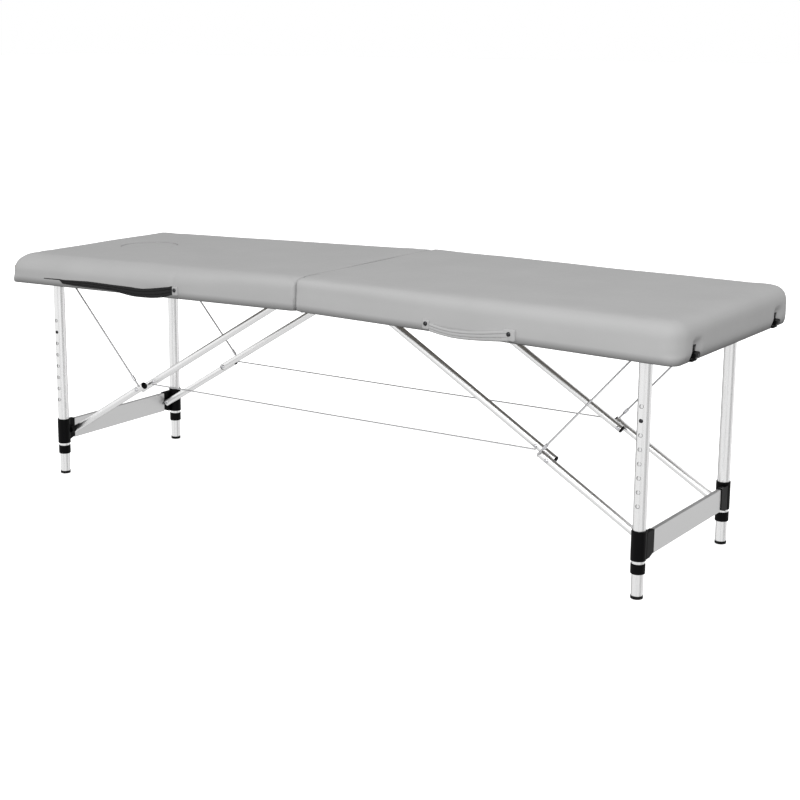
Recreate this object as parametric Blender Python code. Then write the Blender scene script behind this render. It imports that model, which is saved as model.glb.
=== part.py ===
"""Portable massage table: two padded halves on a centre hinge, with folding braced legs.

Metres, +Z up. The origin is on the floor, under the middle of the open table.
X runs along the table, head half at -X and foot half at +X. Y runs across it.
Each half is laid out in its own frame: u outward from the hinge axis, v along Y,
w upward from the hinge axis, square to the padded top.
"""

import math

import bmesh
import bpy
from mathutils import Vector

# ---------------------------------------------------------------- driving dimensions
HALF_LENGTH = 0.932
WIDTH = 0.604
HINGE_HEIGHT = 0.5335
ARCH = math.radians(1.0)  # each half tips down this far from its taut cables
GAP = 0.0003  # clearance between pieces that touch

COVER_END = 0.0024  # where the cover starts, next to the hinge
COVER_TOP = 0.0815
COVER_BOTTOM = 0.0037
COVER_WALL = 0.0012
FOOT_TOP_RISE = 0.0090  # the foot half's padding is thicker at its outer end
HEAD_TOP_RISE = -0.0075  # the head half's is thinner there
CORNER_OUTER = 0.022
CORNER_SEAM = 0.016
EDGE_ROUND = 0.030
SEAM_ROUND_SHARE = 0.12  # the edge over the hinge is less round than the others

RAIL_BOTTOM = 0.0050
RAIL_TOP = 0.0415
RAIL_WIDTH = 0.020
DECK_BOTTOM = RAIL_TOP + GAP
DECK_TOP = DECK_BOTTOM + 0.004

HOLE_U = 0.715
HOLE_HALF_U = 0.0785
HOLE_HALF_V = 0.0745
HOLE_LEDGE = 0.011
PLUG_GAP = 0.0009
PLUG_TOP = COVER_TOP + 0.0020 + HEAD_TOP_RISE * HOLE_U / HALF_LENGTH

LEG_AXLE_U = 0.835
LEG_AXLE_W = 0.0175
AXLE_R = 0.005
AXLE_HOLE_R = 0.0054
LEG_V = 0.2255
OUTER_R, OUTER_BORE_R = 0.0140, 0.0128
INNER_R, INNER_BORE_R = 0.0125, 0.0113
OUTER_TOP = 0.012  # above the leg axle
OUTER_FOOT_Z = 0.070
INNER_FOOT_Z = 0.0043
INNER_TOP_Z = 0.430

HOLE_SPACING = 0.0305
HOLE_COUNT = 8
TOP_HOLE_Z = 0.4170
BUTTON_HOLE = 1  # the button sits in the second hole from the top
PIN_HOLE_R = 0.0043
BUTTON_R = 0.0039
BUTTON_TIP = 0.0155
BUTTON_ROOT = 0.0070

SLEEVE_R = 0.0165
SLEEVE_BORE_R = OUTER_R + GAP
SLEEVE_Z = (0.0843, 0.1495)
COLLAR_R = 0.0156
COLLAR_Z = (0.0553, 0.0774)
CAP_R, CAP_HEIGHT, CAP_FLOOR = 0.0134, 0.007, 0.004

CROSSBAR_Z = (0.089, 0.141)
CROSSBAR_U = (0.003, 0.013)  # outward of the leg's axis
CROSSBAR_WALL = 0.0015
CROSSBAR_END_V = 0.1817
BLOCK_U = (0.0032, 0.0150)
BLOCK_V = 0.182

BRACE_R, BRACE_BORE_R = 0.009, 0.0078
BRACE_LOW_V = 0.187
BRACE_UP_V = 0.165
BRACE_AXLE_U = 0.090
BRACE_AXLE_W = 0.0270
LUG_OUT = 0.0095  # from the leg's axis toward the middle of the table
LUG_Z = 0.117
LUG_R = 0.0085
LUG_V = (0.197, 0.2115)
LUG_PIN_R, LUG_HOLE_R = 0.004, 0.0044
BRACE_TAIL = 0.0080
UPPER_KNEE_TAIL = 0.006
LOWER_KNEE_TAIL = 0.022
KNEE_PIN_R = 0.003

CABLE_R = 0.0016
TOP_CABLE_V = 0.200
TOP_CABLE_START = (0.8150, 0.0100)
TOP_CABLE_END = (0.578, 0.2660)
LONG_CABLE_V = 0.176
LONG_CABLE_END = (0.560, 0.270)

HINGE_PIN_R, KNUCKLE_BORE_R, KNUCKLE_R = 0.0015, 0.0018, 0.0030
HINGE_HALF_WIDTH = 0.280
KNUCKLES = 9
LEAF_U = (0.0007, 0.0019)
LEAF_W = (0.0038, 0.0330)

HANDLE_V = -WIDTH / 2 - GAP
HANDLE_THICK = 0.0055
HANDLE_ENDS = (0.350, 0.584)
HANDLE_TAB = 0.018

LATCH_V = 0.222
LATCH_AXIS_U, LATCH_AXIS_W = HALF_LENGTH + 0.0070, 0.0150
LATCH_PIN_R, LATCH_BORE_R, LATCH_BARREL_R = 0.0014, 0.0017, 0.0034
LATCH_HALF_WIDTH = 0.0150
LEVER_HALF_WIDTH = 0.0105
LEVER_DROP = 0.0253
CATCH_LIP_W = (0.0040, 0.0068)
CATCH_NOSE_W = (0.0118, 0.0225)
CATCH_TOP_W = 0.0365

NEAR, FAR = -1, 1
SIDES = (("near", NEAR), ("far", FAR))
FOOT, HEAD = 1, -1
HALVES = (("foot", FOOT), ("head", HEAD))
ROUND = 32
SMALL_ROUND = 16
SIDE_STEPS = 8

COLOURS = {
    "vinyl": ((0.42, 0.42, 0.42), 0.45, 0.0),
    "foam_core": ((0.80, 0.76, 0.62), 0.90, 0.0),
    "plywood": ((0.60, 0.45, 0.28), 0.70, 0.0),
    "aluminium": ((0.78, 0.78, 0.79), 0.30, 1.0),
    "black_plastic": ((0.02, 0.02, 0.02), 0.45, 0.0),
    "foot_rubber": ((0.015, 0.015, 0.015), 0.80, 0.0),
    "steel_cable": ((0.45, 0.45, 0.46), 0.40, 1.0),
    "steel": ((0.62, 0.62, 0.63), 0.30, 1.0),
    "black_webbing": ((0.03, 0.03, 0.03), 0.80, 0.0),
}


# ---------------------------------------------------------------- scene helpers
def clear_scene():
    for old in list(bpy.data.objects):
        bpy.data.objects.remove(old, do_unlink=True)


def material_for(name, slot):
    colour, roughness, metallic = COLOURS[slot]
    material = bpy.data.materials.new(f"{slot}_{name}")
    material.use_nodes = True
    shader = material.node_tree.nodes["Principled BSDF"]
    shader.inputs["Base Color"].default_value = (*colour, 1.0)
    shader.inputs["Roughness"].default_value = roughness
    shader.inputs["Metallic"].default_value = metallic
    material.diffuse_color = (*colour, 1.0)
    return material


def empty(name, parent=None, location=(0, 0, 0), tilt=0.0):
    """A frame that pieces hang from, turned by tilt about the Y axis."""
    frame = bpy.data.objects.new(name, None)
    bpy.context.collection.objects.link(frame)
    frame.parent = parent
    frame.location = location
    frame.rotation_euler = (0, tilt, 0)
    return frame


def piece(name, mesh, slot, parent=None, location=(0, 0, 0), tilt=0.0, smooth=True):
    made = bpy.data.objects.new(name, mesh)
    bpy.context.collection.objects.link(made)
    made.parent = parent
    made.location = location
    made.rotation_euler = (0, tilt, 0)
    mesh.materials.append(material_for(name, slot))
    if smooth:
        mesh.shade_smooth()
        mesh.set_sharp_from_angle(angle=math.radians(35))
    return made


def tool(target, mesh, operation):
    """Joins a hidden shape to a piece, or cuts it away. It sits in the piece's own frame."""
    helper = bpy.data.objects.new(f"shape_{target.name}_{len(target.modifiers)}", mesh)
    bpy.context.collection.objects.link(helper)
    helper.parent = target
    helper.hide_render = True
    helper.display_type = "WIRE"
    step = target.modifiers.new(operation.lower(), "BOOLEAN")
    step.operation = operation
    step.solver = "EXACT"
    step.object = helper
    return helper


# ---------------------------------------------------------------- mesh helpers
def finish(bm, name):
    bmesh.ops.recalc_face_normals(bm, faces=bm.faces)
    mesh = bpy.data.meshes.new(name)
    bm.to_mesh(mesh)
    bm.free()
    return mesh


def skin(bm, loops, closed=False):
    """Walls between loops of equal length. Open stacks get flat ends."""
    rings = [[bm.verts.new(p) for p in loop] for loop in loops]
    count = len(rings[0])
    pairs = list(zip(rings, rings[1:]))
    if closed:
        pairs.append((rings[-1], rings[0]))
    for low, high in pairs:
        for i in range(count):
            j = (i + 1) % count
            bm.faces.new((low[i], low[j], high[j], high[i]))
    if not closed:
        bm.faces.new(rings[0][::-1])
        bm.faces.new(rings[-1])


def solid(name, loops, closed=False):
    bm = bmesh.new()
    skin(bm, loops, closed)
    return finish(bm, name)


def circle(radius, height, axis="Z", centre=(0, 0), count=ROUND):
    """Points on a circle square to an axis. Centre is in the plane's two coordinates."""
    points = []
    for k in range(count):
        a = math.tau * k / count
        p, q = centre[0] + radius * math.cos(a), centre[1] + radius * math.sin(a)
        places = {"X": (height, p, q), "Y": (p, height, q), "Z": (p, q, height)}
        points.append(places[axis])
    return points


def turned(name, profile, count=ROUND, closed=True):
    """A ring turned about Z from a closed outline of (radius, height) points."""
    return solid(name, [circle(r, z, count=count) for r, z in profile], closed)


def tube_outline(outer, bore, low, high):
    return [(outer, low), (outer, high), (bore, high), (bore, low)]


def rod_y(radius, low, high, centre=(0, 0), count=SMALL_ROUND):
    return [circle(radius, y, "Y", centre, count) for y in (low, high)]


def box_loops(x, y, z):
    return [[(x[0], y[0], h), (x[1], y[0], h), (x[1], y[1], h), (x[0], y[1], h)] for h in z]


def plate_y(outline, low, high):
    """An outline of (x, z) points, given thickness along Y."""
    return [[(x, y, z) for x, z in outline] for y in (low, high)]


def grouped(name, stacks):
    """Several separate closed shapes in one mesh, for use as one cutter or one addition."""
    bm = bmesh.new()
    for loops in stacks:
        skin(bm, loops)
    return finish(bm, name)


def arc(centre, radius, start, end, count):
    step = (end - start) / count
    return [
        (
            centre[0] + radius * math.cos(start + step * k),
            centre[1] + radius * math.sin(start + step * k),
        )
        for k in range(count + 1)
    ]


def along(start, end, count):
    """The points that split a straight side into count parts."""
    shares = [k / count for k in range(1, count)]
    return [tuple(a + (b - a) * t for a, b in zip(start, end)) for t in shares]


def half_outline(side, inset, height, rounding=0.0, steps=6):
    """The plan of one half: small corners at the hinge, large ones at the outer end.

    Rounding is how far the padding's rolled edge has come in at this height.
    """
    start = COVER_END + inset + rounding * SEAM_ROUND_SHARE
    inset += rounding
    u = (start, HALF_LENGTH - inset)
    v = WIDTH / 2 - inset
    seam = max(CORNER_SEAM - inset, 0.001)
    outer = max(CORNER_OUTER - inset, 0.001)
    quarter = math.pi / 2
    points = arc((u[1] - outer, v - outer), outer, 0, quarter, steps)
    points += along((u[1] - outer, v), (u[0] + seam, v), SIDE_STEPS)
    points += arc((u[0] + seam, v - seam), seam, quarter, 2 * quarter, steps)
    points += arc((u[0] + seam, -v + seam), seam, 2 * quarter, 3 * quarter, steps)
    points += along((u[0] + seam, -v), (u[1] - outer, -v), SIDE_STEPS)
    points += arc((u[1] - outer, -v + outer), outer, 3 * quarter, 4 * quarter, steps)
    return [(side * p, q, height) for p, q in points]


def risen(side, loop, share):
    """A loop lifted by a share of the half's rise, more the further outward it is."""
    rise = share * (FOOT_TOP_RISE if side == FOOT else HEAD_TOP_RISE)
    return [(x, y, z + rise * side * x / HALF_LENGTH) for x, y, z in loop]


def rounded_stack(side, inset, low, top, edge, steps=6):
    """Loops of a half's plan from its bottom up over a rounded top edge."""
    loops = [half_outline(side, inset, low)]
    for k in range(steps + 1):
        a = math.pi / 2 * k / steps
        drop = edge * (1 - math.cos(a))
        loop = half_outline(side, inset, top - edge + edge * math.sin(a), drop)
        loops.append(risen(side, loop, 0.3 + 0.7 * math.sin(a)))
    return loops


def oval(half_u, half_v, height, centre=0.0, count=40):
    return [
        (
            centre + half_u * math.cos(math.tau * k / count),
            half_v * math.sin(math.tau * k / count),
            height,
        )
        for k in range(count)
    ]


# ---------------------------------------------------------------- geometry of the fold
def turn(point, angle):
    """A point (x, z) turned about +Y."""
    x, z = point
    c, s = math.cos(angle), math.sin(angle)
    return (x * c + z * s, -x * s + z * c)


def in_world(u, w):
    """A point of the foot half's frame, in world X and Z."""
    x, z = turn((u, w), ARCH)
    return x, HINGE_HEIGHT + z


def span(a, b):
    return math.hypot(b[0] - a[0], b[1] - a[1])


LEG_TOP = in_world(LEG_AXLE_U, LEG_AXLE_W)
BRACE_TOP = in_world(BRACE_AXLE_U, BRACE_AXLE_W)
BRACE_FOOT = (LEG_TOP[0] - LUG_OUT, LUG_Z)
FOLDED_FOOT = (LEG_AXLE_U - (LEG_TOP[1] - LUG_Z), LEG_AXLE_W + LUG_OUT)
OPEN_SPAN = span(BRACE_TOP, BRACE_FOOT)
FOLDED_SPAN = span((BRACE_AXLE_U, BRACE_AXLE_W), FOLDED_FOOT)
UPPER_LENGTH = (OPEN_SPAN + FOLDED_SPAN) / 2
LOWER_LENGTH = (OPEN_SPAN - FOLDED_SPAN) / 2
BRACE_SLOPE = math.atan2(BRACE_TOP[1] - BRACE_FOOT[1], BRACE_FOOT[0] - BRACE_TOP[0])
KNEE = (
    BRACE_FOOT[0] - LOWER_LENGTH * math.cos(BRACE_SLOPE),
    BRACE_FOOT[1] + LOWER_LENGTH * math.sin(BRACE_SLOPE),
)


# ---------------------------------------------------------------- padded halves
def make_frame(label, side, half):
    """A ring of rails with two cross axles: one for the legs, one for the braces."""
    edge = COVER_WALL + GAP
    inside = edge + RAIL_WIDTH
    loops = [
        half_outline(side, edge, RAIL_BOTTOM),
        half_outline(side, edge, RAIL_TOP),
        half_outline(side, inside, RAIL_TOP),
        half_outline(side, inside, RAIL_BOTTOM),
    ]
    frame = piece(f"{label}_frame", solid("frame", loops, closed=True), "aluminium", half)
    reach = WIDTH / 2 - inside + 0.005
    rods = [
        rod_y(AXLE_R, -reach, reach, (side * u, w))
        for u, w in ((LEG_AXLE_U, LEG_AXLE_W), (BRACE_AXLE_U, BRACE_AXLE_W))
    ]
    tool(frame, grouped("axles", rods), "UNION")


def face_cutter(side, half_u, half_v):
    loops = [oval(half_u, half_v, w, side * HOLE_U) for w in (0.030, 0.100)]
    return solid("face_cutter", loops)


def make_deck(label, side, half):
    edge = COVER_WALL + GAP
    loops = [half_outline(side, edge, w) for w in (DECK_BOTTOM, DECK_TOP)]
    deck = piece(f"{label}_deck", solid("deck", loops), "plywood", half)
    if side == HEAD:
        cutter = face_cutter(side, HOLE_HALF_U - HOLE_LEDGE, HOLE_HALF_V - HOLE_LEDGE)
        tool(deck, cutter, "DIFFERENCE")


def make_foam(label, side, half):
    edge = COVER_WALL + GAP
    loops = rounded_stack(side, edge, DECK_TOP + GAP, COVER_TOP - edge, EDGE_ROUND - edge)
    foam = piece(f"{label}_foam", solid("foam", loops), "foam_core", half)
    if side == HEAD:
        tool(foam, face_cutter(side, HOLE_HALF_U, HOLE_HALF_V), "DIFFERENCE")


def make_cover(label, side, half):
    """A thin shell over foam and rails, open underneath."""
    outer = rounded_stack(side, 0, COVER_BOTTOM, COVER_TOP, EDGE_ROUND)
    inner = rounded_stack(
        side, COVER_WALL, COVER_BOTTOM, COVER_TOP - COVER_WALL, EDGE_ROUND - COVER_WALL
    )
    bm = bmesh.new()
    rings = [[bm.verts.new(p) for p in loop] for loop in inner[::-1] + outer]
    count = len(rings[0])
    for low, high in zip(rings, rings[1:]):
        for i in range(count):
            j = (i + 1) % count
            bm.faces.new((low[i], low[j], high[j], high[i]))
    bm.faces.new(rings[0])
    bm.faces.new(rings[-1])
    cover = piece(f"{label}_cover", finish(bm, "cover"), "vinyl", half)
    if side == HEAD:
        tool(cover, face_cutter(side, HOLE_HALF_U, HOLE_HALF_V), "DIFFERENCE")


def make_face_plug(half):
    """The oval pad that fills the face hole. It rests on a ledge of the deck."""
    half_u, half_v = HOLE_HALF_U - PLUG_GAP, HOLE_HALF_V - PLUG_GAP
    edge = 0.007
    loops = [oval(half_u, half_v, DECK_TOP + GAP)]
    for k in range(4):
        a = math.pi / 2 * k / 3
        drop = edge * (1 - math.cos(a))
        loops.append(oval(half_u - drop, half_v - drop, PLUG_TOP - edge + edge * math.sin(a)))
    piece("face_plug", solid("face_plug", loops), "vinyl", half, (-HOLE_U, 0, 0))


def strap_edges(u):
    """Bottom and top of the sagging strap at a place along it."""
    mid = sum(HANDLE_ENDS) / 2
    reach = (HANDLE_ENDS[1] - HANDLE_ENDS[0]) / 2 - HANDLE_TAB
    sag = 1 - ((u - mid) / reach) ** 2
    return -0.001 - 0.0084 * sag, 0.018 - 0.0024 * sag


def make_handle(label, side, half):
    """A padded strap on the near edge. The head half's runs on outward as a thin tail."""
    count = 12
    tab = (0.0015, 0.0265)
    start, end = HANDLE_ENDS[0] + HANDLE_TAB, HANDLE_ENDS[1] - HANDLE_TAB
    stations = [(HANDLE_ENDS[0], *tab), (start - 0.002, *tab)]
    for k in range(count + 1):
        u = start + (end - start) * k / count
        stations.append((u, *strap_edges(u)))
    stations += [(end + 0.002, *tab), (HANDLE_ENDS[1], *tab)]
    if side == HEAD:
        stations += [(0.700, 0.0090, 0.0245), (0.812, 0.0180, 0.0210)]
    v = (HANDLE_V, HANDLE_V - HANDLE_THICK)
    loops = [
        [(side * u, v[0], low), (side * u, v[1], low), (side * u, v[1], high), (side * u, v[0], high)]
        for u, low, high in stations
    ]
    slot = "vinyl" if side == FOOT else "black_webbing"
    piece(f"{label}_handle", solid("handle", loops), slot, half)


# ---------------------------------------------------------------- centre hinge
def make_hinge_pin(pivot):
    loops = rod_y(HINGE_PIN_R, -HINGE_HALF_WIDTH, HINGE_HALF_WIDTH)
    piece("hinge_pin", solid("hinge_pin", loops), "steel", pivot)


def knuckle_loops(side, low, high):
    """A knuckle and the web that ties it to its leaf, as an outline with a bore."""
    web_top = LEAF_W[0] + 0.002
    start = math.acos(LEAF_U[0] / KNUCKLE_R)
    end = math.tau + math.acos(LEAF_U[1] / KNUCKLE_R)
    outline = arc((0, 0), KNUCKLE_R, start, end, 13)
    outline += [(LEAF_U[1], web_top), (LEAF_U[0], web_top)]
    count = len(outline)
    bore = arc((0, 0), KNUCKLE_BORE_R, start, start + math.tau * (1 - 1 / count), count - 1)
    loops = [
        [(side * x, y, z) for x, z in shape]
        for shape, y in ((outline, low), (outline, high), (bore, high), (bore, low))
    ]
    return loops


def make_leaf(label, side, half):
    u = sorted(side * x for x in LEAF_U)
    loops = box_loops(u, (-HINGE_HALF_WIDTH, HINGE_HALF_WIDTH), LEAF_W)
    leaf = piece(f"{label}_hinge_leaf", solid("leaf", loops), "steel", half)
    pitch = 2 * HINGE_HALF_WIDTH / KNUCKLES
    bm = bmesh.new()
    for k in range(KNUCKLES):
        if (k % 2 == 0) == (side == FOOT):
            low = -HINGE_HALF_WIDTH + k * pitch + GAP
            skin(bm, knuckle_loops(side, low, low + pitch - 2 * GAP), closed=True)
    tool(leaf, finish(bm, "knuckles"), "UNION")


# ---------------------------------------------------------------- latches
def make_latch_base(name, side, place, v):
    """A plate on the end face, with two ears that carry the lever's pin."""
    u, w = LATCH_AXIS_U, LATCH_AXIS_W
    half = LATCH_HALF_WIDTH
    plate_u = sorted((side * (HALF_LENGTH + GAP), side * (HALF_LENGTH + 0.0028)))
    plate = box_loops(plate_u, (-half, half), (0.005, 0.0210))
    base = piece(name, solid("latch_base", plate), "steel", place, (0, v, 0))
    ears = []
    ear_u = sorted((side * (HALF_LENGTH + 0.0020), side * (u + 0.0030)))
    for edge in (-1, 1):
        y = sorted((edge * (LEVER_HALF_WIDTH + 0.0006), edge * half))
        ears.append(box_loops(ear_u, y, (w - 0.0035, w + 0.0035)))
    tool(base, grouped("ears", ears), "UNION")
    pin = rod_y(LATCH_PIN_R, -half + 0.001, half - 0.001, (side * u, w))
    tool(base, solid("pin", pin), "UNION")


def make_latch_lever(name, side, place, v):
    """A lever that hangs from its barrel, with a hook at its lower end."""
    inner_x, face_x = 0.0010, LATCH_BARREL_R
    drop = LEVER_DROP
    outline = arc((0, 0), LATCH_BARREL_R, 0, math.tau - math.acos(inner_x / LATCH_BARREL_R), 13)
    outline += [
        (inner_x, -drop + 0.0030),
        (-0.0034, -drop + 0.0030),
        (-0.0034, -drop),
        (face_x, -drop),
    ]
    count = len(outline)
    bore = arc((0, 0), LATCH_BORE_R, 0, math.tau * (1 - 1 / count), count - 1)
    half_width = LEVER_HALF_WIDTH
    loops = [
        [(side * x, y, z) for x, z in shape]
        for shape, y in (
            (outline, -half_width),
            (outline, half_width),
            (bore, half_width),
            (bore, -half_width),
        )
    ]
    mesh = solid("lever", loops, closed=True)
    piece(name, mesh, "black_plastic", place, (side * LATCH_AXIS_U, v, LATCH_AXIS_W))


def make_catch(name, side, place, v):
    """The bracket that a latch's hook grips by its lip when the table is shut."""
    low, top = CATCH_LIP_W[0], CATCH_TOP_W
    half = [(0.0125, low), (0.0135, 0.0210), (0.0060, 0.0250), (0.0115, top)]
    outline = half + [(-y, w) for y, w in half[::-1]]
    faces = (side * (HALF_LENGTH + GAP), side * (HALF_LENGTH + 0.0024))
    plate = [[(x, y, w) for y, w in outline] for x in faces]
    catch = piece(name, solid("catch", plate), "black_plastic", place, (0, v, 0))
    lip_u = sorted((side * (HALF_LENGTH + 0.0014), side * (HALF_LENGTH + 0.0056)))
    tool(catch, solid("lip", box_loops(lip_u, (-0.0120, 0.0120), CATCH_LIP_W)), "UNION")
    low, top = CATCH_NOSE_W
    nose = [
        [(side * (HALF_LENGTH + u), y * width, w) for y, w in ((-1, low), (1, low), (1, top), (-1, top))]
        for u, width, low, top in (
            (0.0014, 0.0130, low, top),
            (0.0100, 0.0130, low, top),
            (0.0122, 0.0105, low + 0.0020, top - 0.0020),
        )
    ]
    tool(catch, solid("nose", nose), "UNION")


# ---------------------------------------------------------------- legs
def make_outer_tube(name, edge, leg):
    """A leg tube with a cross hole for its axle and a row of locking holes outside."""
    low = OUTER_FOOT_Z - LEG_TOP[1]
    mesh = turned("outer_tube", tube_outline(OUTER_R, OUTER_BORE_R, low, OUTER_TOP))
    tube = piece(name, mesh, "aluminium", leg, (0, edge * LEG_V, 0))
    cutters = [rod_y(AXLE_HOLE_R, -0.030, 0.030)]
    outside = sorted((edge * 0.006, edge * 0.030))
    for k in range(HOLE_COUNT):
        z = TOP_HOLE_Z - k * HOLE_SPACING - LEG_TOP[1]
        cutters.append(rod_y(PIN_HOLE_R, *outside, (0, z), 12))
    tool(tube, grouped("holes", cutters), "DIFFERENCE")


def make_connector(name, side, edge, leg):
    """A moulded sleeve with a block for the crossbar and a lug for the lower brace."""
    low, high = (z - LEG_TOP[1] for z in SLEEVE_Z)
    sleeve = solid("sleeve", [circle(SLEEVE_R, z) for z in (low, high)])
    part = piece(name, sleeve, "black_plastic", leg, (0, edge * LEG_V, 0))
    inner = -edge * (LEG_V - BLOCK_V)
    root = -edge * 0.009
    toe = -edge * 0.023
    top, waist, foot = (z - LEG_TOP[1] for z in (0.143, 0.093, 0.0855))
    outline = [(root, top), (inner, top), (inner, waist), (toe, foot), (root, foot)]
    block = [[(side * x, y, z) for y, z in outline] for x in BLOCK_U]
    tool(part, solid("block", block), "UNION")
    pivot = (-side * LUG_OUT, LUG_Z - LEG_TOP[1])
    a0 = math.pi / 2
    tip = arc(pivot, LUG_R, a0, a0 + side * math.pi, 10)
    outline = tip + [(side * 0.004, pivot[1] - LUG_R), (side * 0.004, pivot[1] + LUG_R)]
    lug_v = sorted(edge * (v - LEG_V) for v in LUG_V)
    tool(part, solid("lug", plate_y(outline, *lug_v)), "UNION")
    pin_v = sorted((edge * (BRACE_LOW_V - BRACE_R - LEG_V), edge * (LUG_V[0] + 0.003 - LEG_V)))
    tool(part, solid("pin", rod_y(LUG_PIN_R, *pin_v, pivot)), "UNION")
    bore = [circle(SLEEVE_BORE_R, z) for z in (low - 0.01, high + 0.01)]
    tool(part, solid("bore", bore), "DIFFERENCE")


def make_collar(name, edge, leg):
    """A bush that steps down from the outer tube to the sliding inner tube."""
    low, high = (z - LEG_TOP[1] for z in COLLAR_Z)
    step = OUTER_FOOT_Z - GAP - LEG_TOP[1]
    wide, narrow = OUTER_R + GAP, INNER_R + GAP
    profile = [
        (narrow, low),
        (COLLAR_R - 0.0008, low),
        (COLLAR_R, low + 0.0008),
        (COLLAR_R, high - 0.0008),
        (COLLAR_R - 0.0008, high),
        (wide, high),
        (wide, step),
        (narrow, step),
    ]
    piece(name, turned("collar", profile), "black_plastic", leg, (0, edge * LEG_V, 0))


def make_crossbar(name, side, leg):
    """A flat box section between the two connectors, open at both ends."""
    x = sorted(side * u for u in CROSSBAR_U)
    z = [h - LEG_TOP[1] for h in CROSSBAR_Z]
    wall = CROSSBAR_WALL
    outer = [(x[0], z[0]), (x[1], z[0]), (x[1], z[1]), (x[0], z[1])]
    inner = [
        (x[0] + wall, z[0] + wall),
        (x[1] - wall, z[0] + wall),
        (x[1] - wall, z[1] - wall),
        (x[0] + wall, z[1] - wall),
    ]
    end = CROSSBAR_END_V
    loops = [
        [(p, y, q) for p, q in shape]
        for shape, y in ((outer, -end), (outer, end), (inner, end), (inner, -end))
    ]
    piece(name, solid("crossbar", loops, closed=True), "aluminium", leg)


def make_inner_leg(label, edge, foot):
    """The sliding tube, its rubber foot and its snap button."""
    profile = tube_outline(INNER_R, INNER_BORE_R, INNER_FOOT_Z, INNER_TOP_Z)
    tube = piece(f"{label}_inner_tube", turned("inner_tube", profile), "aluminium", foot)
    button_z = TOP_HOLE_Z - BUTTON_HOLE * HOLE_SPACING
    outside = sorted((edge * 0.006, edge * 0.030))
    tool(tube, solid("button_hole", rod_y(PIN_HOLE_R, *outside, (0, button_z), 12)), "DIFFERENCE")
    seat = INNER_R + GAP
    profile = [
        (0.0008, 0.0),
        (CAP_R - 0.001, 0.0),
        (CAP_R, 0.001),
        (CAP_R, CAP_HEIGHT),
        (seat, CAP_HEIGHT),
        (seat, CAP_FLOOR),
        (0.0008, CAP_FLOOR),
    ]
    piece(f"{label}_foot_cap", turned("foot_cap", profile, closed=False), "foot_rubber", foot)
    steps = (
        (0.0055, BUTTON_ROOT),
        (0.0055, BUTTON_ROOT + 0.0020),
        (BUTTON_R, BUTTON_ROOT + 0.0020),
        (BUTTON_R, BUTTON_TIP - 0.0012),
        (BUTTON_R - 0.0016, BUTTON_TIP),
    )
    loops = [circle(r, edge * y, "Y", count=SMALL_ROUND) for r, y in steps]
    piece(f"{label}_snap_button", solid("button", loops), "steel", foot, (0, 0, button_z))


# ---------------------------------------------------------------- braces and cables
def make_brace(name, side, length, tail, head_hole, pivot, v, tilt):
    """A round tube along its own X axis, from its pivot to its knee."""
    start, end = -BRACE_TAIL, length + tail
    loops = [
        [(side * x, y, z) for y, z in arc((0, 0), r, 0, math.tau * 23 / 24, 23)]
        for r, x in ((BRACE_R, start), (BRACE_R, end), (BRACE_BORE_R, end), (BRACE_BORE_R, start))
    ]
    mesh = solid("brace", loops, closed=True)
    brace = piece(name, mesh, "aluminium", pivot, (0, v, 0), tilt)
    holes = [rod_y(head_hole, -0.02, 0.02), rod_y(KNEE_PIN_R, -0.02, 0.02, (side * length, 0))]
    tool(brace, grouped("brace_holes", holes), "DIFFERENCE")


def make_cable(name, parent, points):
    """A taut cable along a straight run with a point every few diameters."""
    curve = bpy.data.curves.new(name, "CURVE")
    curve.dimensions = "3D"
    curve.bevel_depth = CABLE_R
    curve.bevel_resolution = 2
    curve.use_fill_caps = True
    line = curve.splines.new("POLY")
    line.points.add(len(points) - 1)
    for slot, point in zip(line.points, points):
        slot.co = (*point, 1.0)
    cable = bpy.data.objects.new(name, curve)
    bpy.context.collection.objects.link(cable)
    cable.parent = parent
    curve.materials.append(material_for(name, "steel_cable"))


def straight(start, end, count, sag=0.0):
    start, end = Vector(start), Vector(end)
    points = []
    for k in range(count + 1):
        t = k / count
        point = start.lerp(end, t)
        point.z -= sag * 4 * t * (1 - t)
        points.append(point)
    return points


def make_top_cable(name, side, edge):
    """From beside the leg axle down to the knee, in world coordinates."""
    a, b = in_world(*TOP_CABLE_START), TOP_CABLE_END
    v = edge * TOP_CABLE_V
    make_cable(name, None, straight((side * a[0], v, a[1]), (side * b[0], v, b[1]), 4))


def make_long_cable(name, edge):
    v = edge * LONG_CABLE_V
    x, z = LONG_CABLE_END
    make_cable(name, None, straight((-x, v, z), (x, v, z), 24, sag=0.002))


# ---------------------------------------------------------------- assembly
def make_half(label, side, half):
    make_frame(label, side, half)
    make_deck(label, side, half)
    make_foam(label, side, half)
    make_cover(label, side, half)
    make_handle(label, side, half)
    make_leaf(label, side, half)
    for name, edge in SIDES:
        v = edge * LATCH_V
        if side == FOOT:
            make_catch(f"{name}_latch_catch", side, half, v)
        else:
            make_latch_base(f"{name}_latch_base", side, half, v)
            make_latch_lever(f"{name}_latch_lever", side, half, v)


def make_legs(label, side, half):
    """A leg frame stands plumb, so it turns back by the half's tilt."""
    top = (side * LEG_AXLE_U, 0, LEG_AXLE_W)
    leg = empty(f"{label}_leg_pivot", half, top, -side * ARCH)
    for name, edge in SIDES:
        tag = f"{label}_{name}"
        make_outer_tube(f"{tag}_outer_tube", edge, leg)
        make_connector(f"{tag}_connector", side, edge, leg)
        make_collar(f"{tag}_collar", edge, leg)
        place = (side * LEG_TOP[0], edge * LEG_V, 0)
        make_inner_leg(tag, edge, empty(f"{tag}_slide", None, place))
    make_crossbar(f"{label}_crossbar", side, leg)


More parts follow.
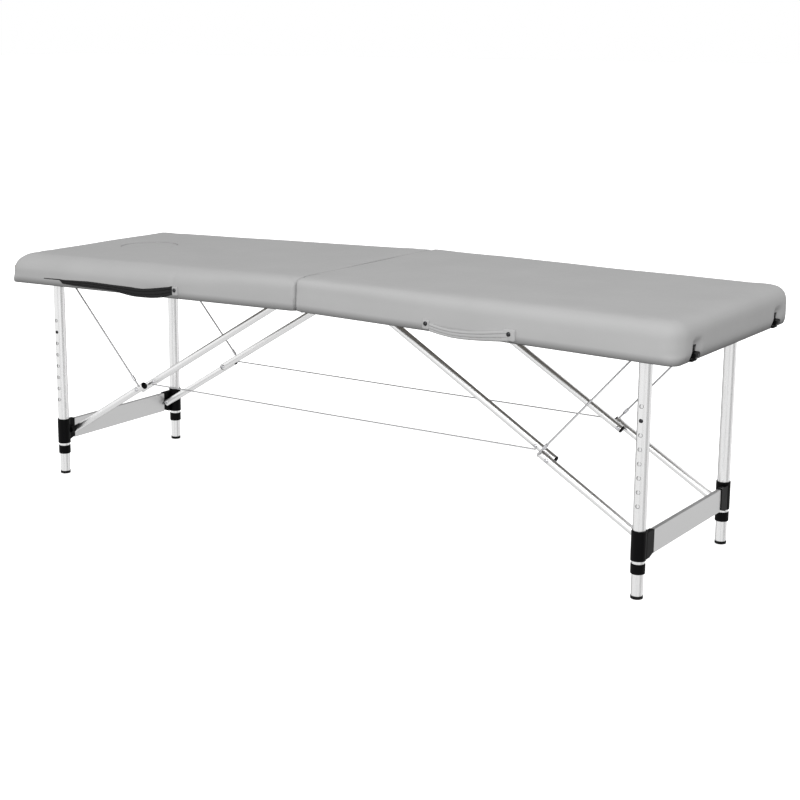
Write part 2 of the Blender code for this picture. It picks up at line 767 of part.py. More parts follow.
def make_braces(label, side, half):
    upper = empty(f"{label}_upper_pivot", half, (side * BRACE_AXLE_U, 0, BRACE_AXLE_W))
    foot = (side * BRACE_FOOT[0], 0, BRACE_FOOT[1])
    lower = empty(f"{label}_lower_pivot", None, foot)
    for name, edge in SIDES:
        tag = f"{label}_{name}"
        run = (side, UPPER_LENGTH, UPPER_KNEE_TAIL, AXLE_HOLE_R)
        tilt = side * (BRACE_SLOPE - ARCH)
        make_brace(f"{tag}_upper_brace", *run, upper, edge * BRACE_UP_V, tilt)
        run = (-side, LOWER_LENGTH, LOWER_KNEE_TAIL, LUG_HOLE_R)
        tilt = side * BRACE_SLOPE
        make_brace(f"{tag}_lower_brace", *run, lower, edge * BRACE_LOW_V, tilt)
        make_top_cable(f"{tag}_top_cable", side, edge)


def main():
    clear_scene()
    pivot = empty("centre_hinge", None, (0, 0, HINGE_HEIGHT))
    make_hinge_pin(pivot)
    for label, side in HALVES:
        half = empty(f"{label}_half", pivot, (0, 0, 0), side * ARCH)
        make_half(label, side, half)
        make_legs(label, side, half)
        make_braces(label, side, half)
        if side == HEAD:
            make_face_plug(half)
    for name, edge in SIDES:
        make_long_cable(f"{name}_long_cable", edge)


main()
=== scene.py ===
"""Looks for the portable massage table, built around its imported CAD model.

Lengths are in metres. Each half has its own frame: u outward from the hinge, v along Y,
w upward from the hinge axis, square to the padded top.
"""

import math

import bmesh
import bpy
import numpy as np
from mathutils import Matrix, Vector, noise


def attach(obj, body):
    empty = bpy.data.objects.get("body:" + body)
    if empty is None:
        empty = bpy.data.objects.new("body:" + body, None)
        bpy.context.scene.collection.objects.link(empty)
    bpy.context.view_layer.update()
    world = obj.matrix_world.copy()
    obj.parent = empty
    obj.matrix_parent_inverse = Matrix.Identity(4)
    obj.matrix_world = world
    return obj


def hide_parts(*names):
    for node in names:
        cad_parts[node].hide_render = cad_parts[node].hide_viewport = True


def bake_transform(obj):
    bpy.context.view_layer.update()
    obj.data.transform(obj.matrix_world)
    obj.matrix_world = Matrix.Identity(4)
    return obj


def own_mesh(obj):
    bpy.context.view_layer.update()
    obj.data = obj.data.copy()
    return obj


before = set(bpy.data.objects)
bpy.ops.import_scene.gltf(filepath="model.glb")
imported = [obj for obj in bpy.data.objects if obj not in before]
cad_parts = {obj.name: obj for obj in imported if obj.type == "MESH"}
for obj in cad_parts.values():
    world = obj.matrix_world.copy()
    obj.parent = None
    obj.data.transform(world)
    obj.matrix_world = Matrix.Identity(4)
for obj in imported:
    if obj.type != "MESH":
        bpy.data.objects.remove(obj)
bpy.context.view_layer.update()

# ---------------------------------------------------------------- sizes shared with the CAD
HALF_LENGTH = 0.932
WIDTH = 0.604
HINGE_HEIGHT = 0.5335
ARCH = math.radians(1.0)
COVER_END = 0.0024
COVER_TOP = 0.0815
COVER_BOTTOM = 0.0037
CORNER_OUTER = 0.022
CORNER_SEAM = 0.016
SEAM_ROUND_SHARE = 0.12
RAIL_SKIN = 0.0013
DECK_TOP = 0.0461
HOLE_U, HOLE_HALF_U, HOLE_HALF_V = 0.715, 0.0785, 0.0745
LEG_V = 0.2255
LEG_R = 0.0140
TOP_HOLE_Z, HOLE_SPACING, HOLE_COUNT = 0.4170, 0.0305, 8
BRACE_R = 0.009
BRACE_LOW_V, BRACE_UP_V = 0.187, 0.165
BRACE_AXLE = (0.090, 0.0270)
LEG_AXLE = (0.835, 0.0175)
LUG_OUT, LUG_Z = 0.0095, 0.117
UPPER_KNEE_TAIL, LOWER_KNEE_TAIL = 0.006, 0.022
CABLE_HOOK = 0.045  # from the knee back along the upper brace
TOP_CABLE_V = {1: 0.200, -1: 0.206}  # the head's run further out, to pass the foot's when folded
LONG_CABLE_V = 0.176
TOP_CABLE_START, TOP_CABLE_END = (0.8150, 0.0100), (0.578, 0.2660)
LONG_CABLE_END = (0.560, 0.270)
HANDLE_V = -WIDTH / 2
LATCH_V = 0.222

# ---------------------------------------------------------------- how the padding stands proud
PAD_LENGTH = 0.938  # the padding bulges past the rails at the outer end
PAD_CORNERS = {1: 0.042, -1: 0.046}
PAD_SEAM_CORNER = 0.006
PAD_TOP = COVER_TOP - 0.0010
PLUG_GAP = 0.0003
FOOT_TOP_RISE, HEAD_TOP_RISE = 0.0105, -0.0045
SIDE_CROWN = 0.0048
SEAM_TOUCH = 0.0001
TOP_ROPE_R, LONG_ROPE_R = 0.0026, 0.0020
TOP_ROPE_PITCH, LONG_ROPE_PITCH = 0.012, 0.014
HEM = (0.0040, 0.0072)
ROLLS = {1: (0.014, 0.026), -1: (0.024, 0.044)}  # edge radius at the seam and further out
TUCK_LOW, TUCK_TOP = 0.004, 0.024  # heights between which the walls curl under
EDGE_INSET = 0.0002
WALL_FADE = (0.036, 0.052)  # heights over which the walls hand over to the roll
TOP_WAVE, WALL_WAVE, PLUG_DIP = 0.0011, 0.0007, 0.0007
CREASE_U, CREASE_WIDTH, CREASE_DEPTH = 0.368, 0.0042, 0.0024
PUFF_HEIGHT = 0.0022
LATCH_REACH = 0.019
STRAP_THICK = {1: 0.0050, -1: 0.0036}
RIVET_SUNK = 0.0003
# Each strap's places along its half: u, lower edge, upper edge.
FOOT_STRAP = (
    (0.366, 0.0045, 0.0245), (0.392, 0.0005, 0.0195), (0.418, -0.0020, 0.0172),
    (0.443, -0.0024, 0.0175), (0.468, -0.0012, 0.0192), (0.500, 0.0010, 0.0235),
    (0.528, 0.0038, 0.0285), (0.560, 0.0070, 0.0335),
)
# The head strap is a real handle, but its black and its thin tail past about u 0.57 are painted shade:
# a dark band in the shadowed gap under the cover's lower edge.
HEAD_STRAP_AND_SHADOW_BAND = (
    (0.362, 0.0148, 0.0335), (0.375, 0.0120, 0.0345), (0.3985, 0.0050, 0.0310),
    (0.418, 0.0020, 0.0275), (0.439, 0.0000, 0.0242), (0.465, -0.0008, 0.0212),
    (0.490, -0.0008, 0.0215), (0.505, 0.0000, 0.0225), (0.522, 0.0020, 0.0228),
    (0.538, 0.0040, 0.0230), (0.563, 0.0078, 0.0234), (0.600, 0.0088, 0.0244),
    (0.649, 0.0095, 0.0256), (0.700, 0.0108, 0.0245), (0.7385, 0.0130, 0.0232),
    (0.749, 0.0212, 0.0242), (0.806, 0.0210, 0.0231),
)
# Each strap's folded ends: u, w, half length, half height.
TABS = {
    1: ((0.3560, 0.0193, 0.0093, 0.0112), (0.5612, 0.0222, 0.0150, 0.0133)),
    -1: ((0.3595, 0.0235, 0.0085, 0.0115),),
}

# ---------------------------------------------------------------- how the padding is blown up
VOXEL = 0.0055
CLOTH_FRAMES = 20
CLOTH_PRESSURE = 4.0
SWELL_LIMIT = 0.0016
SWELL_SHARES = (0.3, 0.3, 1.0)  # the walls keep less of the swelling than the top
HELD_HEIGHT = 0.012  # the lower edge below this stays where it is

SIDE_STEPS = 24
SIDES = (("near", -1), ("far", 1))
HALVES = (("foot", 1), ("head", -1))


# ---------------------------------------------------------------- geometry of the table
def half_matrix(side):
    return Matrix.Translation((0, 0, HINGE_HEIGHT)) @ Matrix.Rotation(side * ARCH, 4, "Y")


def on_half(side, u, v, w):
    return half_matrix(side) @ Vector((side * u, v, w))


def span(a, b):
    return math.hypot(b[0] - a[0], b[1] - a[1])


def knee_points():
    """Leg axle, brace axle, brace foot and knee of the foot half as world (x, z), and the slope."""
    axle = on_half(1, LEG_AXLE[0], 0, LEG_AXLE[1])
    top = on_half(1, BRACE_AXLE[0], 0, BRACE_AXLE[1])
    leg, brace = (axle.x, axle.z), (top.x, top.z)
    foot = (leg[0] - LUG_OUT, LUG_Z)
    folded = (LEG_AXLE[0] - (leg[1] - LUG_Z), LEG_AXLE[1] + LUG_OUT)
    lower = (span(brace, foot) - span(BRACE_AXLE, folded)) / 2
    slope = math.atan2(brace[1] - foot[1], foot[0] - brace[0])
    knee = (foot[0] - lower * math.cos(slope), foot[1] + lower * math.sin(slope))
    return leg, brace, foot, knee, slope


LEG_TOP, BRACE_TOP, BRACE_FOOT, KNEE, SLOPE = knee_points()


# ---------------------------------------------------------------- mesh helpers
def add_object(name, mesh):
    made = bpy.data.objects.new(name, mesh)
    bpy.context.scene.collection.objects.link(made)
    return made


def from_bmesh(name, bm, smooth=40):
    bmesh.ops.recalc_face_normals(bm, faces=bm.faces)
    mesh = bpy.data.meshes.new(name)
    bm.to_mesh(mesh)
    bm.free()
    mesh.shade_smooth()
    mesh.set_sharp_from_angle(angle=math.radians(smooth))
    return add_object(name, mesh)


def skin(bm, loops, closed=False):
    """Joins loops of points with faces, and caps the two ends or closes the last onto the first."""
    rings = [[bm.verts.new(p) for p in loop] for loop in loops]
    count = len(rings[0])
    pairs = list(zip(rings, rings[1:]))
    if closed:
        pairs.append((rings[-1], rings[0]))
    for low, high in pairs:
        for i in range(count):
            j = (i + 1) % count
            bm.faces.new((low[i], low[j], high[j], high[i]))
    if not closed:
        bm.faces.new(rings[0][::-1])
        bm.faces.new(rings[-1])


def frame_along(direction):
    """A rotation that takes +Z to a direction."""
    return Vector(direction).normalized().to_track_quat("Z", "Y").to_matrix().to_4x4()


def turns(count):
    """The angles that split a full turn into count steps."""
    return [math.tau * k / count for k in range(count)]


def lathe(name, profile, place, direction, count=32):
    """A turned piece: (radius, height) pairs from one axis end to the other."""
    bm = bmesh.new()
    turn = Matrix.Translation(place) @ frame_along(direction)
    loops = []
    for r, h in profile:
        loops.append([turn @ Vector((r * math.cos(t), r * math.sin(t), h)) for t in turns(count)])
    skin(bm, loops)
    return from_bmesh(name, bm)


def rivet(name, place, direction, radius, height):
    """A domed head that stands on a surface."""
    profile = [(radius * 0.98, -0.0004), (radius, 0.0003)]
    for k in range(1, 6):
        a = math.pi / 2 * k / 6
        profile.append((radius * math.cos(a), 0.0003 + height * math.sin(a)))
    profile.append((radius * 0.05, 0.0003 + height))
    return lathe(name, profile, place, direction)


def plug_cap(name, place, direction, radius):
    """A moulded plug that closes a tube's end."""
    profile = [
        (radius * 0.80, -0.004),
        (radius * 0.80, 0.0001),
        (radius * 1.02, 0.0001),
        (radius * 1.03, 0.0012),
        (radius * 0.90, 0.0032),
        (radius * 0.50, 0.0042),
        (radius * 0.05, 0.0044),
    ]
    return lathe(name, profile, place, direction)


def arc(centre, radius, start, end, count):
    step = (end - start) / count
    return [
        (
            centre[0] + radius * math.cos(start + step * k),
            centre[1] + radius * math.sin(start + step * k),
        )
        for k in range(count + 1)
    ]


def along(start, end, count):
    """The points that split a straight side into count parts."""
    shares = [k / count for k in range(1, count)]
    return [tuple(a + (b - a) * t for a, b in zip(start, end)) for t in shares]


RAIL_PLAN = (HALF_LENGTH, CORNER_OUTER, CORNER_SEAM)
PAD_PLANS = {side: (PAD_LENGTH, PAD_CORNERS[side], PAD_SEAM_CORNER) for side in (1, -1)}


def half_outline(side, inset, height, rounding=0.0, plan=RAIL_PLAN, steps=8):
    """The plan of one half: small corners at the hinge, large ones at the outer end."""
    start = COVER_END + inset + rounding * SEAM_ROUND_SHARE
    inset += rounding
    length, outer_corner, seam_corner = plan
    u = (start, length - inset)
    v = WIDTH / 2 - inset
    seam = max(seam_corner - inset, 0.001)
    outer = max(outer_corner - inset, 0.001)
    quarter = math.pi / 2
    points = arc((u[1] - outer, v - outer), outer, 0, quarter, steps)
    points += along((u[1] - outer, v), (u[0] + seam, v), SIDE_STEPS)
    points += arc((u[0] + seam, v - seam), seam, quarter, 2 * quarter, steps)
    points += arc((u[0] + seam, -v + seam), seam, 2 * quarter, 3 * quarter, steps)
    points += along((u[0] + seam, -v), (u[1] - outer, -v), SIDE_STEPS)
    points += arc((u[1] - outer, -v + outer), outer, 3 * quarter, 4 * quarter, steps)
    return [(side * p, q, height) for p, q in points]


def apply_all(obj):
    """Bakes an object's modifiers into its mesh."""
    graph = bpy.context.evaluated_depsgraph_get()
    mesh = bpy.data.meshes.new_from_object(obj.evaluated_get(graph))
    obj.modifiers.clear()
    obj.data = mesh
    return obj


def cut(target, cutter, operation="DIFFERENCE"):
    step = target.modifiers.new("cut", "BOOLEAN")
    step.operation = operation
    step.solver = "EXACT"
    step.object = cutter
    apply_all(target)
    bpy.data.objects.remove(cutter, do_unlink=True)


def coordinates(obj):
    co = np.zeros(len(obj.data.vertices) * 3)
    obj.data.vertices.foreach_get("co", co)
    return co.reshape(-1, 3)


def set_coordinates(obj, co):
    obj.data.vertices.foreach_set("co", co.reshape(-1))
    obj.data.update()


# ---------------------------------------------------------------- materials
class Nodes:
    """A short way to write a node material."""

    def __init__(self, name):
        self.material = bpy.data.materials.new(name)
        self.material.use_nodes = True
        self.tree = self.material.node_tree
        self.shader = self.tree.nodes["Principled BSDF"]

    def add(self, kind, **values):
        node = self.tree.nodes.new(kind)
        for key, value in values.items():
            if key in node.inputs:
                node.inputs[key].default_value = value
            else:
                setattr(node, key, value)
        return node

    def link(self, out, into):
        self.tree.links.new(out, into)

    def coords(self, scale=(1, 1, 1), rotation=(0, 0, 0)):
        source = self.add("ShaderNodeTexCoord")
        mapping = self.add("ShaderNodeMapping")
        mapping.inputs["Scale"].default_value = scale
        mapping.inputs["Rotation"].default_value = rotation
        self.link(source.outputs["Object"], mapping.inputs["Vector"])
        return mapping.outputs["Vector"]

    def noise(self, vector, scale, detail=2.0, rough=0.5):
        node = self.add("ShaderNodeTexNoise", Scale=scale, Detail=detail, Roughness=rough)
        self.link(vector, node.inputs["Vector"])
        return node.outputs["Fac"]

    def ramp(self, factor, low, high, start=0.0, end=1.0):
        node = self.add("ShaderNodeMapRange")
        node.inputs["From Min"].default_value = start
        node.inputs["From Max"].default_value = end
        node.inputs["To Min"].default_value = low
        node.inputs["To Max"].default_value = high
        self.link(factor, node.inputs["Value"])
        return node.outputs["Result"]

    def tint(self, factor, dark, light):
        """Colours the surface between two tones. The light one may itself be a mix."""
        node = self.add("ShaderNodeMix", data_type="RGBA")
        node.inputs[6].default_value = (*dark, 1)
        if isinstance(light, tuple):
            node.inputs[7].default_value = (*light, 1)
        else:
            self.link(light, node.inputs[7])
        self.link(factor, node.inputs[0])
        self.link(node.outputs[2], self.shader.inputs["Base Color"])
        return node.outputs[2]

    def height(self, place):
        node = self.add("ShaderNodeSeparateXYZ")
        self.link(place, node.inputs["Vector"])
        return node.outputs["Z"]

    def bump(self, height, strength, distance, base=None):
        node = self.add("ShaderNodeBump", Strength=strength, Distance=distance)
        self.link(height, node.inputs["Height"])
        if base is not None:
            self.link(base, node.inputs["Normal"])
        return node.outputs["Normal"]

    def surface(self, normal=None, roughness=None, **values):
        if normal is not None:
            self.link(normal, self.shader.inputs["Normal"])
        if roughness is not None:
            self.link(roughness, self.shader.inputs["Roughness"])
        for key, value in values.items():
            self.shader.inputs[key].default_value = value
        return self.material


def vinyl(name, dark, light, low=None):
    """Soft upholstery vinyl with a fine pebble grain, and, if low is given, painted shade darkening it
    towards the bottom edge.
    """
    m = Nodes(name)
    place = m.coords()
    tone = m.tint(m.noise(place, 9, 3), dark, light)
    if low is not None:
        # Painted shade: low darkens the cover towards its bottom edge, where the walls tuck under.
        m.tint(m.ramp(m.height(place), 0.0, 1.0, 0.001, 0.022), low, tone)
    cells = m.add("ShaderNodeTexVoronoi", Scale=900.0, feature="SMOOTH_F1")
    m.link(place, cells.inputs["Vector"])
    grain = m.bump(cells.outputs["Distance"], 0.25, 0.0003)
    soft = m.bump(m.noise(place, 30, 2), 0.10, 0.002, grain)
    rough = m.ramp(m.noise(place, 60, 3), 0.50, 0.62)
    return m.surface(soft, rough, **{"Specular IOR Level": 0.20})


def brushed(name, colour, low, high, scale, rotation=(0, 0, 0)):
    """Satin aluminium drawn along one direction."""
    m = Nodes(name)
    streaks = m.noise(m.coords(scale, rotation), 40, 4, 0.6)
    darker = tuple(c * 0.96 for c in colour)
    m.tint(streaks, darker, colour)
    rough = m.ramp(streaks, low, high, 0.3, 0.7)
    normal = m.bump(streaks, 0.08, 0.0002)
    return m.surface(normal, rough, Metallic=1.0)


def moulded(name, colour, rough_low, rough_high, grain, gloss=0.4):
    m = Nodes(name)
    place = m.coords()
    spots = m.noise(place, 500, 3)
    m.tint(m.noise(place, 40, 2), colour, tuple(c * 1.5 for c in colour))
    normal = m.bump(spots, grain, 0.0002)
    rough = m.ramp(m.noise(place, 90, 3), rough_low, rough_high)
    return m.surface(normal, rough, **{"Specular IOR Level": gloss})


def polished(name, colour, low, high):
    m = Nodes(name)
    place = m.coords()
    cloud = m.noise(place, 120, 4)
    m.tint(cloud, tuple(c * 0.85 for c in colour), colour)
    normal = m.bump(m.noise(place, 900, 2), 0.04, 0.0001)
    return m.surface(normal, m.ramp(cloud, low, high), Metallic=1.0)


def webbing(name, dark, light):
    m = Nodes(name)
    place = m.coords()
    weave = m.add("ShaderNodeTexWave", Scale=420.0, Distortion=0.6)
    weave.bands_direction = "DIAGONAL"
    m.link(place, weave.inputs["Vector"])
    m.tint(weave.outputs["Fac"], dark, light)
    normal = m.bump(weave.outputs["Fac"], 0.4, 0.0004)
    rough = m.ramp(m.noise(place, 50, 2), 0.50, 0.70)
    return m.surface(normal, rough, **{"Specular IOR Level": 0.18})


def plywood(name):
    m = Nodes(name)
    grain = m.noise(m.coords((2, 40, 40)), 6, 6, 0.65)
    m.tint(grain, (0.34, 0.315, 0.28), (0.50, 0.475, 0.43))
    return m.surface(m.bump(grain, 0.15, 0.0006), m.ramp(grain, 0.6, 0.8))


def make_materials():
    grey = (0.36, 0.36, 0.36)
    return {
        # The cover's third tone is painted shade along the bottom edge of the padding.
        "cover": vinyl("grey_cover_painted_low_shade", grey, (0.40, 0.40, 0.40), (0.13, 0.13, 0.13)),
        "vinyl": vinyl("grey_vinyl", grey, (0.40, 0.40, 0.40)),
        "aluminium": brushed("satin_aluminium", (0.87, 0.87, 0.87), 0.22, 0.34, (60, 60, 1)),
        # The crossbars are the legs' aluminium made darker as painted shade, for the darker
        # reflections they show.
        "bar": brushed("bar_aluminium_painted_shade", (0.60, 0.60, 0.60), 0.30, 0.44, (60, 1, 60)),
        "rail": brushed("rail_aluminium", (0.78, 0.78, 0.79), 0.30, 0.42, (1, 60, 60)),
        "plastic": moulded("black_plastic", (0.0015, 0.0015, 0.0017), 0.36, 0.50, 0.10, 0.07),
        "rubber": moulded("foot_rubber", (0.003, 0.003, 0.003), 0.55, 0.70, 0.25, 0.15),
        "black_chrome": polished("black_chrome", (0.045, 0.045, 0.048), 0.10, 0.20),
        # Painted shade: the hem's near black stands in for the shadowed underside of the padding.
        "hem": vinyl("hem_vinyl_painted_shade", (0.040, 0.040, 0.040), (0.055, 0.055, 0.055)),
        "steel": polished("zinc_steel", (0.66, 0.66, 0.68), 0.18, 0.32),
        "cable": polished("wire_rope", (0.56, 0.56, 0.57), 0.30, 0.45),
        # Painted shade: near-black webbing for the shadowed head handle and the gap beside it.
        "webbing": webbing("black_webbing", (0.004, 0.004, 0.004), (0.014, 0.014, 0.015)),
        "plywood": plywood("deck_plywood"),
    }


def paint(obj, material):
    obj.data.materials.clear()
    obj.data.materials.append(material)


# ---------------------------------------------------------------- cushions
def smoothstep(low, high, value):
    t = np.clip((value - low) / (high - low), 0.0, 1.0)
    return t * t * (3 - 2 * t)


def top_rise(side, u):
    """How much higher a half's padding is at a place than next to the seam."""
    return (FOOT_TOP_RISE if side > 0 else HEAD_TOP_RISE) * u / HALF_LENGTH


def block_loops(side, top, steps=9):
    """Loops over a rolled top edge. The roll is tight next to the seam and wide further out."""
    plan = PAD_PLANS[side]
    loops = [half_outline(side, 0, COVER_BOTTOM), half_outline(side, 0, COVER_BOTTOM + 0.024, 0, plan)]
    for k in range(steps + 1):
        a = math.pi / 2 * k / steps
        rows = [
            half_outline(side, 0, top - edge + edge * math.sin(a), edge * (1 - math.cos(a)), plan)
            for edge in ROLLS[side]
        ]
        loop = []
        for p, q in zip(*rows):
            point = Vector(p).lerp(Vector(q), roll_share(side * p[0]))
            point.z += top_rise(side, side * point.x) * (0.3 + 0.7 * math.sin(a))
            loop.append(point)
        loops.append(loop)
    return loops


def roll_share(u):
    """How much of the wide roll an edge has at a place: none at the seam, all of it further out."""
    return float(smoothstep(0.02, 0.55, u))


def plan_distance(side, co):
    """How far outside the half's plan a point is, and the way out, from its rounded outline."""
    share = smoothstep(COVER_BOTTOM, 0.030, co[:, 2])
    half_u = (HALF_LENGTH + (PAD_LENGTH - HALF_LENGTH) * share - COVER_END) / 2
    outer = CORNER_OUTER + (PAD_CORNERS[side] - CORNER_OUTER) * share

    def distance(u, v):
        corner = np.where(u > HALF_LENGTH / 2, outer, PAD_SEAM_CORNER)
        p = np.abs(u - COVER_END - half_u) - half_u + corner
        q = np.abs(v) - WIDTH / 2 + corner
        outside = np.hypot(np.maximum(p, 0), np.maximum(q, 0))
        return outside + np.minimum(np.maximum(p, q), 0) - corner

    u, v = side * co[:, 0], co[:, 1]
    step = 1e-5
    away = distance(u, v)
    out_u = (distance(u + step, v) - away) / step
    out_v = (distance(u, v + step) - away) / step
    return away, side * out_u, out_v


def shape_walls(side, co):
    """Sets how far the side walls stand out: crowned, tucked under at the bottom edge."""
    away, out_x, out_y = plan_distance(side, co)
    height = co[:, 2]
    wall = (away > -0.005) & (height < WALL_FADE[1])
    below = (TUCK_TOP - np.clip(height, TUCK_LOW, TUCK_TOP)) / (TUCK_TOP - TUCK_LOW)
    tuck = np.sqrt(np.clip(1 - below**2, 0, 1))
    target = -EDGE_INSET + (SIDE_CROWN + EDGE_INSET) * tuck
    fade = 1 - smoothstep(*WALL_FADE, height)
    move = np.where(wall, (target - away) * fade, 0)
    move += SIDE_CROWN * smoothstep(-0.030, -0.002, away) * (1 - fade)
    outer = side * co[:, 0] > 0.012
    co[:, 0] += move * out_x * outer
    co[:, 1] += move * out_y


def close_seam(side, co):
    """Brings a half's inner face and top edge up to the other half's."""
    u = side * co[:, 0]
    u = np.maximum(u - (COVER_END + 0.0016) * smoothstep(0.030, 0.006, u), SEAM_TOUCH)
    inner = smoothstep(0.290, 0.262, np.abs(co[:, 1]))
    crest = smoothstep(0.014, 0.004, u) * smoothstep(0.060, 0.070, co[:, 2]) * inner
    co[:, 2] += crest * (PAD_TOP - co[:, 2])
    co[:, 0] = side * u


def dent_latches(side, co):
    """Draws the end face in round each latch."""
    u = side * co[:, 0]
    reach = np.exp(-(((np.abs(co[:, 1]) - LATCH_V) / LATCH_REACH) ** 4))
    reach *= smoothstep(0.056, 0.036, co[:, 2]) * (u > 0.90)
    co[:, 0] = side * (u + reach * (np.minimum(u, HALF_LENGTH - 0.0004) - u))


def remesh(obj, size):
    step = obj.modifiers.new("remesh", "REMESH")
    step.mode = "VOXEL"
    step.voxel_size = size
    step.use_smooth_shade = True
    apply_all(obj)


def swell(obj):
    """Blows the skin up as cloth, then caps how far any point may go."""
    before = coordinates(obj)
    group = obj.vertex_groups.new(name="held")
    held = np.nonzero(before[:, 2] < HELD_HEIGHT)[0]
    group.add([int(i) for i in held], 1.0, "REPLACE")
    cloth = obj.modifiers.new("cloth", "CLOTH")
    cloth.settings.vertex_group_mass = "held"
    cloth.settings.use_pressure = True
    cloth.settings.uniform_pressure_force = CLOTH_PRESSURE
    cloth.settings.effector_weights.gravity = 0
    cloth.settings.tension_stiffness = 20
    cloth.settings.bending_stiffness = 2
    cloth.point_cache.frame_start, cloth.point_cache.frame_end = 1, CLOTH_FRAMES
    for step in range(1, CLOTH_FRAMES + 1):
        bpy.context.scene.frame_set(step)
    apply_all(obj)
    bpy.context.scene.frame_set(1)
    move = coordinates(obj) - before
    length = np.linalg.norm(move, axis=1, keepdims=True)
    capped = move * np.minimum(1.0, SWELL_LIMIT / np.maximum(length, 1e-9)) * SWELL_SHARES
    set_coordinates(obj, before + capped)
    obj.vertex_groups.clear()


def relax(obj, steps, factor=0.5):
    step = obj.modifiers.new("relax", "SMOOTH")
    step.iterations = steps
    step.factor = factor
    apply_all(obj)


def smooth_noise(points, scale, seed):
    offset = Vector((seed * 7.3, seed * 3.1, seed * 1.7))
    return np.array([noise.noise(Vector(p) * scale + offset) for p in points])


def hole_distance(side, co):
    """How far outside the face hole's oval a point is, in metres."""
    p = (side * co[:, 0] - HOLE_U) / HOLE_HALF_U
    q = co[:, 1] / HOLE_HALF_V
    return (np.hypot(p, q) - 1) * (HOLE_HALF_U + HOLE_HALF_V) / 2


def settle(side, co):
    """Sculpts the swollen skin: walls, seam, latch dents, soft waves, and the head half's creases."""
    shape_walls(side, co)
    close_seam(side, co)
    dent_latches(side, co)
    u = side * co[:, 0]
    upper = smoothstep(0.045, 0.066, co[:, 2])
    co[:, 2] += upper * TOP_WAVE * smooth_noise(co, 6.0, 2 + side)
    waves = WALL_WAVE * np.sign(co[:, 1]) * smooth_noise(co, 11.0, 5 + side)
    co[:, 1] += waves * (np.abs(co[:, 1]) > 0.29)
    if side < 0:
        co[:, 2] -= upper * PLUG_DIP * np.exp(-((hole_distance(side, co) / 0.005) ** 2))
        low, high = smoothstep(0.020, 0.034, co[:, 2]), smoothstep(0.074, 0.060, co[:, 2])
        near = (co[:, 1] < -0.28) * low * high
        co[:, 1] += near * CREASE_DEPTH * np.exp(-(((u - CREASE_U) / CREASE_WIDTH) ** 2))
        puff = smoothstep(CREASE_U, CREASE_U + 0.01, u) * smoothstep(0.52, 0.42, u)
        co[:, 1] -= near * PUFF_HEIGHT * puff
    co[co[:, 2] < COVER_BOTTOM + 0.0006, 2] = COVER_BOTTOM


def recess_cutter(side):
    bm = bmesh.new()
    skin(bm, [half_outline(side, RAIL_SKIN, h) for h in (-0.02, DECK_TOP + 0.0003)])
    return from_bmesh("recess", bm)


def hole_cutter(side):
    bm = bmesh.new()
    oval = [(side * HOLE_U + HOLE_HALF_U * math.cos(t), HOLE_HALF_V * math.sin(t)) for t in turns(64)]
    skin(bm, [[(*point, h) for point in oval] for h in (0.03, 0.12)])
    return from_bmesh("face_cut", bm)


def make_cushion(label, side, look):
    """Padding and cover of one half, as one soft skin over deck and rails."""
    bm = bmesh.new()
    skin(bm, block_loops(side, PAD_TOP))
    pad = from_bmesh(f"{label}_cushion", bm)
    remesh(pad, VOXEL)
    swell(pad)
    relax(pad, 3)
    co = coordinates(pad)
    settle(side, co)
    set_coordinates(pad, co)
    cut(pad, recess_cutter(side))
    if side < 0:
        cut(pad, hole_cutter(side))
    pad.data.shade_smooth()
    pad.data.set_sharp_from_angle(angle=math.radians(50))
    paint(pad, look)
    pad.matrix_world = half_matrix(side)
    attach(pad, f"{label}_half")
    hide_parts(f"{label}_cover", f"{label}_foam")


def make_hem(label, side, look):
    """The cover's turned edge along the bottom of the rails, coloured near black as painted shade for
    the shadowed underside.
    """
    bm = bmesh.new()
    low, high = HEM
    rows = ((0.0010, low), (-0.0006, low), (-0.0014, low + 0.0008))
    rows += ((-0.0014, high - 0.0008), (-0.0006, high), (0.0010, high))
    skin(bm, [half_outline(side, inset, h) for inset, h in rows], closed=True)
    hem = from_bmesh(f"{label}_hem", bm, 60)
    paint(hem, look)
    hem.matrix_world = half_matrix(side)
    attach(hem, f"{label}_half")


def make_plug(look):
    """The oval pad in the face hole, crowned, with a sewn rim."""
    half_u, half_v = HOLE_HALF_U - PLUG_GAP, HOLE_HALF_V - PLUG_GAP
    top = PAD_TOP + 0.0002 + top_rise(-1, HOLE_U)
    rows = [(0.0, DECK_TOP + 0.0003), (0.0, top - 0.010)]
    rows += [(0.0, top - 0.0030), (0.0003, top - 0.0013), (0.0012, top - 0.0004)]
    rows += [(0.003, top), (0.010, top + 0.0006), (0.030, top + 0.0012), (0.060, top + 0.0015)]
    bm = bmesh.new()
    loops = []
    for d, h in rows:
        loop = []
        for t in turns(96):
            x = (half_u - d) * math.cos(t)
            tilt = top_rise(-1, -x) if h > DECK_TOP + 0.001 else 0
            loop.append((x, (half_v - d) * math.sin(t), h + tilt))
        loops.append(loop)
    skin(bm, loops)
    plug = from_bmesh("face_pad", bm, 60)
    paint(plug, look)
    plug.matrix_world = half_matrix(-1) @ Matrix.Translation((-HOLE_U, 0, 0))
    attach(plug, "plug")
    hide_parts("face_plug")


# ---------------------------------------------------------------- handles
def strap_line(side, t):
    """Place along a half's strap: u, middle height, half height."""
    places, lows, highs = zip(*(FOOT_STRAP if side > 0 else HEAD_STRAP_AND_SHADOW_BAND))
    u = places[0] + (places[-1] - places[0]) * t
    low, high = np.interp(u, places, lows), np.interp(u, places, highs)
    return u, (low + high) / 2, (high - low) / 2


def strap_section(half, thick, depth, ribs=3, count=25):
    """The strap's outer face as (height, proud) points with sewn grooves between ribs."""
    points = []
    for k in range(count):
        s = -1 + 2 * k / (count - 1)
        edge = max(0.0, 1 - abs(s) ** 6) ** 0.5
        rib = abs(math.sin((s + 1) / 2 * math.pi * ribs))
        points.append((s * half, thick * edge * (1 - depth + depth * min(1.0, 2.2 * rib))))
    return points


